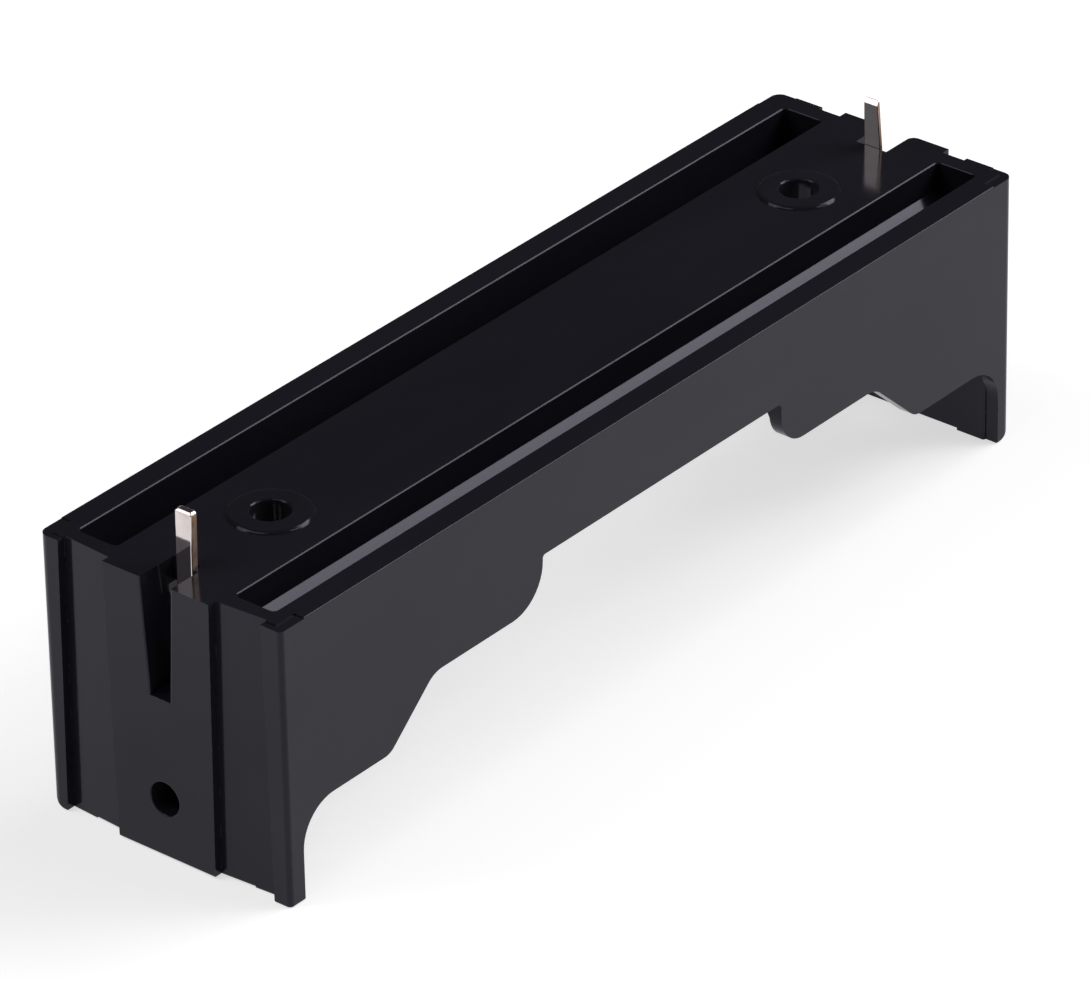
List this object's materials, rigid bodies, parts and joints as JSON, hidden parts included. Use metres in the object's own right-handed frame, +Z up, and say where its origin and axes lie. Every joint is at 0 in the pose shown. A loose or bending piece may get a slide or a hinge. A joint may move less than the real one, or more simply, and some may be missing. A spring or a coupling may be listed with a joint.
{
  "type": "cylindrical cell holder",
  "caption": "Board-mount holder for a single cylindrical cell: arched open-sided trough, screw bosses, long grooves, and a leaf contact with a solder pin in each end wall.",
  "frame": {"origin": "centre of the overall footprint at the lowest level, the feet of the posts and end walls", "axes": "+X along the cell, +Y across it, +Z up to the board side, where the solder pins point; the cell goes in from below"},
  "size_m": [0.0782, 0.0206, 0.0249],
  "materials": {
    "housing": "black injection-moulded plastic, smooth, lightly worn",
    "contact": "nickel-plated spring strip, slightly dulled"
  },
  "bodies": {
    "root": {"housing": "housing", "contact_near": "contact", "contact_far": "contact"}
  },
  "joints": []
}
